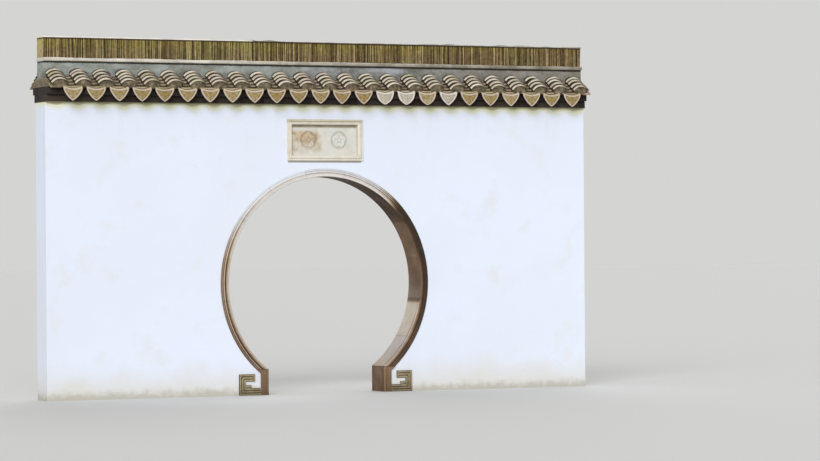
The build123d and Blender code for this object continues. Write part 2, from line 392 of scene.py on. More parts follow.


# Ground grey brick, cream where it is washed and brown where it is stained and where painted shade is laid in, by the
# tone mark, with painted shade in its grooves
def polishedBrick():
    f = material("polishedBrick")
    tone, cool = f.mark("tone"), f.mark("cool")
    patch, fine = f.noise(5.5, 5, 0.6), f.noise(48, 4, 0.6)
    field = tone + (patch - 0.5) * 0.30 + (fine - 0.5) * 0.12 + f.mark("groove") * (0.30 + fine * 0.2)
    f.colour = f.ramp(field, (0.0, 236, 231, 227), (0.25, 214, 207, 197), (0.45, 186, 168, 146),
                      (0.65, 142, 118, 94), (0.82, 102, 77, 57), (1.0, 54, 39, 26))
    grey = f.ramp(field, (0.0, 214, 216, 222), (0.42, 182, 173, 172), (0.65, 140, 132, 126), (1.0, 66, 58, 50))
    clouds = f.spots(3.1, 3, 0.45, 0.7) * 0.25 * f.step(tone, 0.95, 0.6)
    f.coat(f.maths("MAXIMUM", clouds, cool), grey)
    f.coat(f.mark("lime") * f.step(field, 0.75, 0.3) * 0.9, (220, 228, 236))
    f.coat(f.spots(4.3, 5, 0.54, 0.72, 0.65) * f.step(tone, 0.3, 0.8) * 0.22, (86, 78, 46))
    damp = f.step(f.axis("Z") + (f.noise(7, 4) - 0.5) * 0.3, 0.42, 0.28)
    f.coat(damp * cool * 0.5, (150, 150, 122))
    f.coat(f.mark("joint") * 0.8, (62, 54, 42))
    pit = f.spots(130, 2, 0.66, 0.74)
    f.coat(pit * 0.35, (110, 98, 80))
    height = fine * 0.4 + f.noise(170, 3) * 0.2 - pit * 0.3 + patch * 0.3
    return f.surface(0.62 + (patch - 0.5) * 0.3, height, 0.0022, 0.8, 0.28)


# Olive-brown brick of the scrolls, paler on the crowns of the reeds, with painted shade in the grooves between them
def scrollBrick():
    f = material("scrollBrick")
    patch, fine = f.noise(17, 5, 0.6), f.noise(75, 4, 0.6)
    f.colour = f.ramp(patch * 0.7 + fine * 0.3, (0.25, 104, 90, 64), (0.5, 158, 144, 112), (0.75, 196, 184, 152))
    f.coat(f.spots(9, 4, 0.52, 0.72) * 0.5, (98, 94, 58))
    # painted shade in the grooves between the reeds
    f.coat(f.mark("groove") * 0.92, (40, 33, 22))
    f.coat(f.step(f.axis("Z"), 0.09, 0.02) * 0.4, (72, 60, 42))
    return f.surface(0.75 + (patch - 0.5) * 0.2, fine * 0.5 + patch * 0.5, 0.0022, 0.9, 0.35)


# Cream stone-like brick of the plaque, its panel stained brown at the left and its border dark along the top; a
# painted shadow lies along the top of the panel, and painted shade in the grooves and the carving's hollows
def plaqueBrick():
    f = material("plaqueBrick")
    x, z, inside = f.axis("X"), f.axis("Z"), f.mark("panel")
    patch, fine = f.noise(9, 5, 0.6), f.noise(90, 4, 0.6)
    mixed = patch * 0.75 + fine * 0.25
    border = f.ramp(mixed, (0.25, 200, 193, 172), (0.5, 225, 219, 206), (0.8, 234, 230, 220))
    panel = f.ramp(mixed, (0.25, 196, 193, 182), (0.5, 216, 213, 204), (0.8, 228, 228, 224))
    f.colour = f.blend(inside, border, panel)
    f.coat(f.spots(7, 3, 0.5, 0.66) * inside * 0.5, (206, 214, 208))
    ragged = x + (f.noise(11, 5, 0.65) - 0.5) * 0.2 + (z - plaque["middleZ"]) * 0.15
    stain = f.step(ragged, 0.0, -0.10) * f.spots(8, 4, 0.30, 0.56, 0.6) * inside
    stain = stain * f.step(z, *stainsAndShadows["panelStainTop"]) * f.step(z, *stainsAndShadows["panelStainBottom"])
    f.coat(stain * 0.8, f.ramp(f.noise(22, 4), (0.35, 166, 132, 92), (0.65, 206, 186, 152)))
    upper = f.step(z + (f.noise(6, 4) - 0.5) * 0.03, *stainsAndShadows["plaqueTop"]) * (1 - inside)
    f.coat(upper * 0.75, f.ramp(f.noise(13, 4), (0.35, 172, 168, 136), (0.65, 206, 200, 178)))
    # painted shadow that the top border casts on the panel
    f.coat(f.mark("soot") * 0.8, f.ramp(f.noise(10, 4), (0.35, 128, 106, 86), (0.65, 168, 156, 124)))
    # painted shade in the border's grooves and in the carving's hollows
    f.coat(f.mark("groove") * 0.75, (116, 104, 76))
    speck = f.spots(120, 2, 0.66, 0.76)
    f.coat(speck * 0.3, (150, 136, 112))
    height = fine * 0.4 + patch * 0.4 - speck * 0.3
    return f.surface(0.8 + (patch - 0.5) * 0.2, height, 0.002, 0.8, 0.35)


# Dark brick in dark mortar, coloured near black as painted shade of the eave, with the olive of lime in that shade
# painted along its lowest edge
def copingBrick():
    f = material("copingBrick")
    patch, fine = f.noise(14, 5, 0.6), f.noise(80, 4, 0.6)
    field = f.mark("tone") + (patch - 0.5) * 0.6
    f.colour = f.ramp(field, (0.1, 38, 31, 29), (0.5, 50, 42, 37), (0.9, 64, 55, 47))
    f.coat(f.mark("mortar"), f.ramp(fine, (0.3, 42, 35, 32), (0.7, 58, 50, 43)))
    # painted olive of lime in the eave's shade, along the lowest edge
    f.coat(f.step(f.axis("Z"), *stainsAndShadows["shadedLimeEdge"]) * 0.8, (140, 135, 100))
    return f.surface(0.85 + (patch - 0.5) * 0.15, fine * 0.5 + patch * 0.5, 0.003, 0.9, 0.3)


# Mortar and broken tile that beds the coping
def beddingMortar():
    f = material("beddingMortar")
    patch, stones = f.noise(18, 6, 0.65), f.cells(55)
    f.colour = f.ramp(patch, (0.3, 92, 82, 68), (0.7, 140, 130, 110))
    f.coat(f.step(stones, 0.35, 0.2) * 0.4, (112, 106, 98))
    return f.surface(0.92 + (patch - 0.5) * 0.1, patch + stones * 0.4, 0.004, 0.9, 0.25)


# Weathered clay tile: each one its own tone, worn pale on its lip, lichen in patches, painted shade where the tile
# above overhangs it, and mortar where the mortar mark is
def roofTile(name, low, middle, high, lip):
    f = material(name)
    patch, fine = f.noise(24, 5, 0.62), f.noise(110, 4, 0.6)
    field = f.mark("tone") * 0.6 + (patch - 0.5) * 1.1 + (fine - 0.5) * 0.45 + 0.2
    f.colour = f.ramp(field, (0.1, *low), (0.5, *middle), (0.9, *high))
    lichen = f.spots(33, 5, 0.55, 0.68, 0.7)
    f.coat(lichen * 0.4, (206, 198, 170))
    f.coat(f.spots(12, 4, 0.56, 0.7) * 0.35, (132, 102, 66))
    f.coat(f.mark("rim") * (0.45 + patch * 0.7), lip)
    f.coat(f.spots(9.7, 3, 0.5, 0.62) * 0.55, (196, 166, 150))
    f.coat(f.spots(6.3, 3, 0.52, 0.64) * 0.5, (178, 178, 126))
    mortar = f.ramp(patch * 0.7 + fine * 0.3, (0.36, 58, 50, 38), (0.5, 104, 93, 72), (0.64, 156, 144, 116))
    f.coat(f.mark("mortar"), mortar)
    f.coat(f.mark("shade"), f.ramp(fine, (0.3, 32, 26, 20), (0.7, 54, 45, 35)))
    return f.surface(0.8 + (patch - 0.5) * 0.3, patch * 0.5 + fine * 0.4 + lichen * 0.2, 0.003, 0.9, 0.35)


# Moulded drip tile: tan clay with a paler worn rim and an ochre sprig, some tiles limewashed, by the pale mark
def dripTile():
    f = material("dripTile")
    pale, relief = f.mark("pale"), f.mark("relief")
    patch, fine = f.noise(28, 5, 0.62), f.noise(120, 4, 0.6)
    field = f.mark("tone") * 0.4 + (patch - 0.5) * 0.9 + (fine - 0.5) * 0.4 + 0.3
    f.colour = f.ramp(field, (0.1, 144, 130, 84), (0.5, 192, 179, 135), (0.9, 214, 206, 170))
    f.coat(f.spots(7.3, 3, 0.46, 0.6) * 0.3, (196, 158, 130))
    f.coat(relief, f.ramp(fine, (0.3, 112, 84, 26), (0.7, 160, 128, 46)))
    wash = f.step(pale + (patch - 0.5) * 0.5, 0.55, 0.85)
    f.coat(wash * 0.85, (206, 201, 187))
    f.coat(relief * wash * 0.45, (150, 143, 134))
    f.coat(f.mark("line") * (0.92 - pale * 0.4), (80, 62, 38))
    f.coat(f.mark("rim") * (0.3 + patch * 0.9), f.blend(wash, (202, 184, 168), (226, 216, 209)))
    streak = f.noise(1.0, 4, 0.6, f.stretched(60, 60, 7))
    f.coat(f.step(streak, 0.54, 0.68) * 0.3, (140, 122, 92))
    f.coat(f.mark("shade"), (46, 38, 30))
    return f.surface(0.8 + (patch - 0.5) * 0.3, patch * 0.5 + fine * 0.5, 0.0022, 0.9, 0.35)


# Grey lime plaster of the ridge base: greener at the left, blue-grey clouds turning brown at the right, and a painted
# shadow under the fillet
def ridgePlaster():
    f = material("ridgePlaster")
    x, z = f.axis("X"), f.axis("Z")
    cloud, fine = f.noise(5.5, 6, 0.65, f.stretched(0.8, 1, 1.6)), f.noise(60, 4, 0.6)
    field = cloud + (fine - 0.5) * 0.45
    f.colour = f.ramp(field, (0.3, 108, 107, 101), (0.48, 138, 140, 138), (0.64, 166, 170, 174))
    f.coat(f.step(x, 0.1, -0.5) * 0.4, f.ramp(cloud, (0.3, 112, 116, 100), (0.7, 170, 178, 160)))
    brown = f.step(x + (f.noise(2.4, 4) - 0.5) * 1.4, 0.6, 2.2)
    f.coat(brown * 0.6, f.ramp(cloud, (0.3, 96, 86, 68), (0.7, 146, 134, 112)))
    # painted shadow under the fillet
    f.coat(f.step(z + (f.noise(20, 4) - 0.5) * 0.010, *stainsAndShadows["filletShadow"]) * 0.92, (36, 31, 27))
    drip = f.noise(1.0, 4, 0.6, f.stretched(22, 22, 1.5))
    f.coat(f.step(drip, 0.56, 0.72) * 0.3, (96, 91, 82))
    height = cloud * 0.5 + fine * 0.3 + f.noise(190, 2) * 0.1
    return f.surface(0.88 + (cloud - 0.5) * 0.1, height, 0.004, 0.8, 0.3)


# Lime of the fillet and the caps: off-white, grey where it is wet and worn, by the tone mark, which also holds painted
# light: paler along the top and darker low down
def limeCap():
    f = material("limeCap")
    tone = f.mark("tone")
    patch, fine = f.noise(11, 6, 0.65), f.noise(85, 4, 0.6)
    f.colour = f.ramp(tone + (patch - 0.5) * 0.55 + (fine - 0.5) * 0.25, (0.0, 240, 232, 221), (0.2, 212, 206, 194),
                      (0.45, 170, 165, 152), (0.7, 130, 123, 107), (1.0, 84, 76, 60))
    f.coat(f.spots(7, 5, 0.56, 0.7, 0.65) * tone * 0.5, (112, 108, 70))
    return f.surface(0.88 + (patch - 0.5) * 0.12, patch * 0.5 + fine * 0.4, 0.004, 0.9, 0.3)


# Tiles standing on end: pinkish brown below and mossy olive above, each with its own tone, a painted shadow under the
# cap and painted shade in the gaps
def standingTile():
    f = material("standingTile")
    z = f.axis("Z")
    grain, patch = f.noise(1.0, 5, 0.6, f.stretched(170, 170, 14)), f.noise(30, 4, 0.6)
    field = f.mark("tone") * 0.8 + (grain - 0.5) * 0.7 + (patch - 0.5) * 0.9 + 0.06
    low = f.ramp(field, (0.0, 66, 51, 32), (0.3, 104, 85, 56), (0.6, 142, 121, 83), (1.0, 190, 171, 128))
    high = f.ramp(field, (0.0, 66, 53, 30), (0.3, 110, 94, 50), (0.6, 146, 128, 68), (1.0, 192, 176, 116))
    height = z + (f.noise(11, 4) - 0.5) * 0.16 - f.step(f.axis("X"), 0.9, 2.2) * 0.05
    mossy = f.step(height, *stainsAndShadows["mossy"])
    f.colour = f.blend(mossy, low, high)
    # painted shadow of the cap along the tiles' tops
    f.coat(f.step(z, *stainsAndShadows["capShadow"]) * 0.85, (60, 49, 38))
    f.coat(f.spots(3.3, 4, 0.5, 0.68) * 0.35, f.ramp(field, (0.0, 60, 62, 36), (1.0, 152, 156, 84)))
    f.coat(f.mark("shade"), (40, 32, 22))
    return f.surface(0.85 + (patch - 0.5) * 0.2, grain * 0.7 + patch * 0.3, 0.002, 0.8, 0.3)


# Lining

lining = {
    "radius": 1.0,
    "centreZ": 1.04,
    "halfDepth": 0.136,
    "width": 0.078,
    "count": 13,
    "footZ": 0.24,
    "footHalfGap": 0.6,
    "steps": 15,  # stations between the bevelled ends of a segment
    "bevel": 0.0012,
    "ends": [0.0006, 0.0022, 0.005],  # metres along the arc of the stations at a bevelled end
    # millimetres out from the opening and back from the face, painted shade in a groove, and how much darker it
    # weathers
    "section": [
        (0, 62, 0, 0), (0, 44, 0.3, 0), (0, 27, 0.75, 0), (1.6, 25, 1, 0), (1.6, 22.5, 1, 0), (0, 20.5, 0.4, 0),
        (0, 9, 0, 0), (0.7, 5.4, 0, 0), (2.6, 2.6, 0, -0.14), (5.4, 0.7, 0, -0.14), (9, 0, 0, -0.14), (19, 0, 0, -0.12),
        (20, 2, 0.7, 0), (22.4, 2, 0.7, 0), (23.4, 0.4, 0, 0), (27, 0.4, 0, 0.12), (30, 0.4, 0.1, 0.12),
        (32, 0.4, 0.8, 0.08), (36.5, 0.4, 1, 0.08), (37.5, 4.6, 1, 0), (41, 6.0, 1, 0), (44, 7.8, 0.1, -0.04),
        (48, 9.7, 0, -0.04), (51, 10.4, 0.1, -0.02), (53.5, 10.5, 1, 0), (58, 9.8, 1, 0), (61, 6.8, 0.3, 0.04),
        (65, 6.0, 0, 0.08), (68.5, 6.6, 0.1, 0.10), (70, 9.6, 0.9, 0.1), (72, 9.6, 0.9, 0.1), (73, 8.6, 0.3, 0.12),
        (77, 8.8, 0, 0.14), (78, 10, 0.3, 0.14),
    ],
    # the same for the feet, without the last
    "footSection": [
        (0, 60, 0), (0, 24, 0.2), (1.2, 23, 0.5), (1.2, 21, 0.5), (0, 20, 0.2), (0, 8, 0), (0.8, 4.8, 0), (2.6, 2.4, 0),
        (5.2, 0.7, 0), (8.5, 0, 0), (19, 0, 0), (20, 1.8, 0.6), (22.4, 1.8, 0.6), (23.4, 0, 0), (76, 0, 0), (78, 2, 0),
    ],
    "footStations": [0, 0.0015, *np.linspace(0.03, 0.19, 6), *np.linspace(0.203, 0.235, 6), 0.2378, 0.2394],
    "bead": (1.0195, 1.0230),  # radii between which the bead's groove lies
    "outerFrom": 1.03,  # radius of the outer mouldings
    "limeFrom": 1.046,
    # against the angle from the right, in degrees: tone is 0 for cream and 1 for dark brown; the face and reveal tones
    # hold painted shade as well as stain: the face darkest on the right side, the reveal darker where it faces down
    # than where it faces up, and a painted shadow line just under the joint near -10 degrees
    "curves": {
        "faceToneAndShade": ([-53, -35, -15, 0, 20, 41, 44, 46, 48, 51, 55, 70, 90, 130, 141, 158, 170, 233],
                     [0.70, 0.76, 0.83, 0.89, 1.0, 0.97, 0.84, 0.68, 0.48, 0.32, 0.22, 0.16, 0.13, 0.14, 0.25, 0.36,
                      0.44, 0.58]),
        "revealToneAndShade": ([-53, -35, -20, -10.7, -10.4, -9.5, -9.1, -5, 0, 24, 34, 36, 45, 70, 90, 130, 180, 233],
                       [0.42, 0.36, 0.33, 0.37, 0.84, 0.84, 0.70, 0.72, 0.78, 0.78, 0.79, 0.88, 0.92, 0.94, 0.86, 0.72,
                        0.62, 0.60]),
        "grooveShown": ([-53, -30, -20, -8, 233], [1, 1, 0.5, 0.1, 0.1]),  # on the reveal
        "beadShown": ([-53, -6, 8, 20, 42, 54, 233], [1, 1, 0.75, 0.05, 0.05, 1, 1]),
        "beadShade": ([90, 110], [0.25, 0.6]),
        "outerShade": ([100.5, 101.5, 138, 155], [1, 0.5, 0.5, 1]),
        "brown": ([-53, 44, 56, 66, 125, 150, 233], [1, 1, 0.4, 0.15, 0.15, 0.6, 1]),
        "limeWash": ([46, 54, 62, 101, 102, 142, 152, 168], [0, 0.3, 0.55, 0.65, 1, 0.9, 0.4, 0]),
        "cool": ([-53, -40, -31.2, -31, -12, -9, 8], [0.5, 0.8, 0.75, 0.25, 0.1, 0.5, 0]),
        "greyFace": ([40, 50, 60, 142, 165], [0, 0.6, 1, 1, 0]),
        "jointShown": ([-53, -20, 12, 40, 233], [0.9, 0.45, 0.4, 0.15, 0.15]),
    },
}


# The lining's section as a closed loop, from the reveal over the front to the outer edge and back over its mirror
# image: radius, depth, painted shade in a groove, how much darker, and 1 on the reveal
def liningLoop():
    out, back, groove, darker = thereAndBack(np.array(lining["section"], float).T)
    side = np.where(np.arange(out.size) < out.size / 2, 1, -1)
    return lining["radius"] + out / 1000, side * (back / 1000 - lining["halfDepth"]), groove, darker, 1.0 * (out < 2.5)


# A segment: x is radius times cosine, z is radius times sine of the angle, and the last stations are bevelled
def addSegment(number):
    radius, depth, groove, darker, reveal = liningLoop()
    rise = lining["centreZ"] - lining["footZ"]
    low = -math.degrees(math.asin(rise / lining["radius"]))
    each = (180 - 2 * low) / lining["count"]
    start, end = low + number * each, low + (number + 1) * each
    ends = np.degrees(np.array(lining["ends"]) / lining["radius"])
    angle = np.concatenate([start + ends, np.linspace(start, end, lining["steps"] + 2)[1:-1], end - ends[::-1]])
    near = np.minimum(angle - start, end - angle)
    bevel = np.where(near < ends[1] * 0.9, lining["bevel"], 0)[:, None]
    r = np.maximum(radius, lining["radius"] + bevel)
    theta = np.radians(angle)[:, None]
    if number in (0, lining["count"] - 1):  # its lower end is cut level on the foot
        level = -np.arcsin((rise - lining["ends"][0]) / r)
        first, last = (level, math.radians(end)) if number == 0 else (math.radians(start), math.pi - level)
        share = ((angle - angle[0]) / (angle[-1] - angle[0]))[:, None]
        theta = first * (1 - share) + last * share
    theta = theta + 0 * r
    y = depth - np.sign(depth) * bevel
    degrees = np.degrees(theta)
    curve = {key: np.interp(degrees, *value) for key, value in lining["curves"].items()}
    shift = darker * curve["brown"] * np.where(darker < 0, curve["beadShown"], 1)
    face = 0.08 * np.interp((start + end) / 2, *lining["curves"]["faceToneAndShade"]) + 0.92 * curve["faceToneAndShade"] + shift
    tone = face * (1 - reveal) + curve["revealToneAndShade"] * reveal + chance.uniform(-0.02, 0.02)
    bead = (radius > lining["bead"][0]) & (radius < lining["bead"][1])
    # painted shade in the grooves, stronger or weaker by the angle round the ring
    paintedShade = groove * np.where(bead, np.maximum(curve["brown"], curve["beadShade"]), 1)
    paintedShade = paintedShade * np.where(radius > lining["outerFrom"], curve["outerShade"], 1)
    paintedShade = paintedShade * np.where(reveal > 0, curve["grooveShown"] * (depth < 0), 1)
    joint = np.clip(1 - (near - ends[0]) / (ends[2] - ends[0]), 0, 1)[:, None]
    joint = joint * curve["jointShown"] * (0.5 + 0.5 * reveal)
    lime = curve["limeWash"] * np.clip((radius - lining["limeFrom"]) / 0.004, 0, 1)
    cool = np.maximum(curve["cool"] * reveal, curve["greyFace"] * np.clip(paintedShade + 0.2, 0, 1) * (1 - reveal))
    piece = Piece("tone", "groove", "joint", "lime", "cool")
    piece.skin(grid(r * np.cos(theta), y, lining["centreZ"] + r * np.sin(theta)),
               tone=tone, groove=paintedShade, joint=joint, lime=lime, cool=cool)
    piece.make(f"lining_{number + 1:02d}", f"ring_segment_{number + 1:02d}", "lining", "polished_brick")


# A foot: the section's inner edge is upright and its outer edge keeps to the lining's curve down to the straight part
def addFoot(side):
    out, back, groove = np.array(lining["footSection"], float).T
    out, back = out / 1000, back / 1000
    depth = thereAndBack(back - lining["halfDepth"], lining["halfDepth"] - back)
    groove = thereAndBack(groove, groove * (out > 0.01))
    out = thereAndBack(out)
    z = column(*lining["footStations"])
    outer = lining["radius"] + lining["width"]
    curve = np.sqrt(outer**2 - (lining["centreZ"] - z) ** 2)
    extra = np.maximum(curve - lining["footHalfGap"] - lining["width"], 0) * (out > 0.07)
    bevel = column(lining["bevel"], *[0] * (len(z) - 2), lining["bevel"])
    x = lining["footHalfGap"] + np.maximum(out, bevel) + extra
    sections = grid(side * x, depth - np.sign(depth) * bevel, z)
    tone = 0.76 + 0.08 * np.exp(-z / 0.05) - 0.05 * ((out > 0.002) & (out < 0.0195))
    piece = Piece("tone", "groove", "joint", "lime", "cool")
    piece.skin(sections, tone=tone, groove=groove, joint=(z > 0.2375) | (z < 0.001))
    name = "right_foot" if side > 0 else "left_foot"
    piece.make(name + "_stone", name, "lining", "polished_brick")


# Scrolls beside the feet

scroll = {
    "start": 0.678,
    "width": 0.222,
    "height": 0.197,
    "bar": 0.068,
    "endGap": 0.060,
    "wallY": 0.12,
    "lanes": 3,
    # share of a reed's half width, metres proud of the wall, and painted shade
    "reed": [(-1, 0, 1), (-1, 0.0075, 1), (-0.93, 0.0088, 1), (-0.72, 0.0108, 0.75), (-0.3, 0.012, 0), (0.3, 0.012, 0),
             (0.72, 0.0108, 0.75), (0.93, 0.0088, 1), (1, 0.0075, 1), (1, 0, 1)],
    "tongue": (0.098, 0.156, 0.085, 0.022),  # from, to, height over the ground, width
}


# A reed: a rounded section carried along a square path, each corner cut on its mitre
def reed(path, width):
    share, proud, paintedShade = np.array(scroll["reed"]).T
    path = np.array(path, float)
    run = np.diff(path, axis=0)
    run /= np.linalg.norm(run, axis=1)[:, None]
    left = np.stack([-run[:, 1], run[:, 0]], 1)
    before, after = np.vstack([left[:1], left]), np.vstack([left, left[-1:]])
    mitre = (before + after) / (1 + (before * after).sum(1))[:, None]
    flat = path[:, None] + share[None, :, None] * width / 2 * mitre[:, None]
    return flat[..., 0], proud, flat[..., 1], paintedShade


# A scroll: reeds side by side along the bar, one square turn, and the tongue inside it
def addScroll(side, face):
    lane, far, top = scroll["bar"] / scroll["lanes"], scroll["width"], scroll["height"]
    x0, x1, high, width = scroll["tongue"]
    reeds = []
    for number in range(scroll["lanes"]):
        off = (number + 0.5) * lane
        endX = scroll["endGap"] + (lane if number else lane / 2)
        path = [(0, off), (far - off, off), (far - off, top - off), (endX, top - off)]
        reeds.append((path if number else path + [(endX, top - scroll["bar"])], lane))
    piece = Piece("groove")
    for path, across in reeds + [([(x1, high), (x0, high)], width)]:
        x, proud, z, paintedShade = reed(path, across)
        piece.skin(grid(side * (scroll["start"] + x), face * (scroll["wallY"] + proud), z), groove=paintedShade)
    name = ("left" if side < 0 else "right") + ("_front" if face < 0 else "_back")
    piece.make(name + "_scroll", name + "_fret", "scroll", "polished_brick", 50)


# Plaque

plaque = {
    "width": 0.786,
    "height": 0.388,
    "middleZ": 2.384,
    "wallY": -0.12,
    "backY": -0.070,
    "panelY": -0.100,
    "border": 0.050,
    # millimetres in from the outer edge, millimetres proud of the wall, and 1 in a groove, where shade is painted
    "section": [(0, 0, 1), (0, 14, 0), (1.5, 16, 0), (17, 16, 0), (18, 12.5, 1), (20.5, 12.5, 1), (21.5, 19, 0),
                (23, 21, 0), (26, 22, 0), (38, 21.4, 0), (44, 19, 0), (48, 15, 0), (50, 10.5, 0), (50, -20, 1)],
    # how strong the painted shade in the border's grooves is on each side, strongest along the top
    "borderGrooveShade": {"top": 1.0, "right": 0.7, "bottom": 0.0, "left": 0.1},
    "grid": (172, 74),
    "rosetteX": 0.158,
    "rosetteRadius": 0.092,
    "leaf": (0.313, 0.108, 0.020),  # its place across and up from the middle, and its size
    "petalLift": 0.0075,
    "veinDepth": 0.0024,
    "stamenLift": 0.0018,
    "ringLift": 0.0030,
    "leafLift": 0.0032,
}


# A border length: the moulding's section at both mitred ends, each point as far along as it is in from the outer edge
def addBorder(name, turn):
    inward, proud, groove = np.array(plaque["section"], float).T
    inward = np.append(inward / 1000, [plaque["border"], 0])
    proud = np.append(proud / 1000, [plaque["wallY"] - plaque["backY"]] * 2)
    groove = np.append(groove, [1, 1])
    halfLong, reach = plaque["width"] / 2, plaque["height"] / 2
    if turn % 2:
        halfLong, reach = reach, halfLong
    along = column(*np.linspace(-1, 1, 9)) * (halfLong - inward - 0.0003)
    out = reach - inward
    wear = 0.0006 * wobble(along[:, :1] + turn, 4, 0.05, 0.3) * (proud > 0)
    cosine, sine = math.cos(turn * math.pi / 2), math.sin(turn * math.pi / 2)
    y = plaque["wallY"] - proud + np.abs(wear)
    z = out * cosine - along * sine + plaque["middleZ"]
    piece = Piece("groove", "panel", "soot")
    piece.skin(grid(along * cosine + out * sine, y, z), groove=plaque["borderGrooveShade"][name] * groove)
    piece.make(f"plaque_{name}_moulding", f"plaque_{name}_border", "plaque", "plaque_brick", 30)


# 1 at zero, falling off with a power of the distance over a width
def ridgeOf(distance, width, power=2):
    return np.exp(-((distance / width) ** power))


# The panel: a level field with two raised rosettes; each is five rounded petals round a boss inside a thin ring,
# where the petal's edge is the radius times a cosine of five times the angle, and a small leaf stands in each corner
def addPanel():
    halfX = plaque["width"] / 2 - plaque["border"] - 0.0004
    halfZ = plaque["height"] / 2 - plaque["border"] - 0.0004
    columns, rows = plaque["grid"]
    x, z = np.meshgrid(np.linspace(-halfX, halfX, columns), np.linspace(-halfZ, halfZ, rows), indexing="ij")
    r = np.hypot(np.abs(x) - plaque["rosetteX"], z) / plaque["rosetteRadius"]
    angle = np.arctan2(z, np.abs(x) - plaque["rosetteX"]) - math.pi / 2
    petal = 0.62 + 0.20 * np.abs(np.cos(2.5 * angle)) ** 0.7
    inside = np.clip((petal - r) / 0.10, 0, 1)
    body = inside * inside * (3 - 2 * inside) * (0.55 + 0.45 * np.clip(r / 0.6, 0, 1))
    vein = ridgeOf(np.sin(2.5 * angle) * r, 0.045) * (r > 0.2) * (r < 0.6)
    boss = np.clip((0.20 - r) / 0.06, 0, 1)
    stamens = ridgeOf(r - 0.29, 0.03) * np.clip(np.cos(15 * angle), 0, 1)
    leafX, leafZ, size = plaque["leaf"]
    leaf = (np.abs(np.abs(x) - leafX) / size) ** 1.3 + (np.abs(np.abs(z) - leafZ) / size) ** 1.3
    lift = plaque["petalLift"] * (body + boss) - plaque["veinDepth"] * vein + plaque["stamenLift"] * stamens
    lift = lift + plaque["ringLift"] * ridgeOf(r - 0.97, 0.035, 4)
    lift = lift + plaque["leafLift"] * np.clip(2 - 2 * np.sqrt(leaf), 0, 1)
    uneven = 0.0004 * np.sin(x * 31 + z * 17) * np.sin(z * 43 - x * 9)
    # painted shade in the carving's hollows: round the petals, in the veins and round the boss
    hollow = np.clip(1 - inside, 0, 1) * (r < 0.93) * 0.42 + 0.8 * vein * inside + 0.5 * ridgeOf(r - 0.2, 0.03)
    # painted shadow of the top border along the top of the panel
    soot = np.clip((z - halfZ + 0.030) / 0.010, 0, 1) * np.clip((halfX - np.abs(x)) / 0.012, 0, 1)
    piece = Piece("groove", "panel", "soot")
    piece.slab(grid(x, plaque["panelY"] - lift + uneven, z + plaque["middleZ"]), plaque["backY"],
               groove=np.clip(hollow, 0, 1), panel=1.0, soot=soot)
    piece.make("plaque_carving", "plaque_panel", "plaque", "plaque_brick")


# Brick courses under the eave

courses = {
    "brick": 0.2325,
    "joint": 0.0085,
    "depth": 0.115,
    "softness": 0.0035,
    "shortest": 0.03,
    "coreInset": (0.003, 0.005),  # along and across the wall
}


# Bricks: a block with eased edges laid along both faces, its end sections drawn in towards their middle, with a
# mortar core behind
def addCourse(nodeName, offset):
    low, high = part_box(nodeName)
    pitch, ease = courses["brick"] + courses["joint"], courses["softness"]
    edges = np.arange(low.x - pitch + offset, high.x + pitch, pitch)
    piece = Piece("tone", "mortar")
    for face in (-1, 1):
        for x0, x1 in np.clip(np.stack([edges, edges + courses["brick"]], 1), low.x, high.x):
            if x1 - x0 <= courses["shortest"]:
                continue
            out = high.y - abs(chance.normal(0, 0.0015))
            back = out - courses["depth"]
            z0, z1 = low.z + 0.003, high.z - chance.uniform(0.002, 0.004)
            loop = np.array([(back, z0), (out - ease, z0), (out, z0 + ease),
                             (out, z1 - ease), (out - ease, z1), (back, z1)])
            drawnIn = np.array([ease, 0, 0, ease])[:, None, None] / 0.06
            near = loop + (loop.mean(0) - loop) * drawnIn
            x = column(x0, x0 + ease, x1 - ease, x1)
            piece.skin(grid(x, face * near[..., 0], near[..., 1]), tone=chance.uniform(0.1, 0.9))
    piece.core(low, high, *courses["coreInset"], tone=0.5, mortar=1.0)
    piece.make(nodeName + "_bricks", nodeName, "coping", "coping_brick")


# Tiled slopes

slopes = {
    "ridgeY": 0.075,
    "topZ": 2.9411,  # top of the pans against the ridge base
    "fall": math.tan(math.radians(24.8)),
    "run": 0.195,  # level distance from the ridge base to the eave
    "tilePitch": 0.225,
    "rows": 12,
    "courses": 4,
    "edging": (2.71, 2.7995),  # under the outermost covers
    "coverRun": 0.185,
    "coverHalf": 0.0895,
    "coverArch": 0.045,
    "coverBed": 0.030,
    "coverLap": 0.007,  # how much higher each course lies than the next one down
    "coverThick": 0.012,
    "bedHalf": 0.0755,
    "bedMiddle": 0.016,  # height that the bed's mouth is drawn in to
    "panRun": 0.176,
    "panHalf": 0.106,
    "panSag": 0.020,
    "panLap": 0.009,
    "panThick": 0.009,
    "dripHalf": 0.092,
    "dripHeight": 0.130,
    "dripSag": 0.022,
    "dripBackY": -0.2705,
    "dripLowest": 2.7212,
    "eaveY": 0.282,
    "eaveZ": 2.851,
}


# A point on the front slope: a level run out from the ridge base and a rise straight up from the bed's plane
def onBed(x, run, rise):
    z = slopes["topZ"] - run * slopes["fall"] + rise
    return grid(x, -(slopes["ridgeY"] + run), z)


# A tile's stations down the slope: its hidden back end, then the places before its front end
def stations(back, front):
    return column(max(back, 0), front - 0.030, front - 0.014, front - 0.002, front)


# The shapes are laid on the front slope; the back slope is its mirror image, with draws of its own
def makeSlope(piece, side, kind, sharp=38):
    name = "front" if side < 0 else "back"
    piece.make(f"{name}_{kind}s", f"{name}_{kind}_tiles", kind, "roof_tile", sharp, -side)


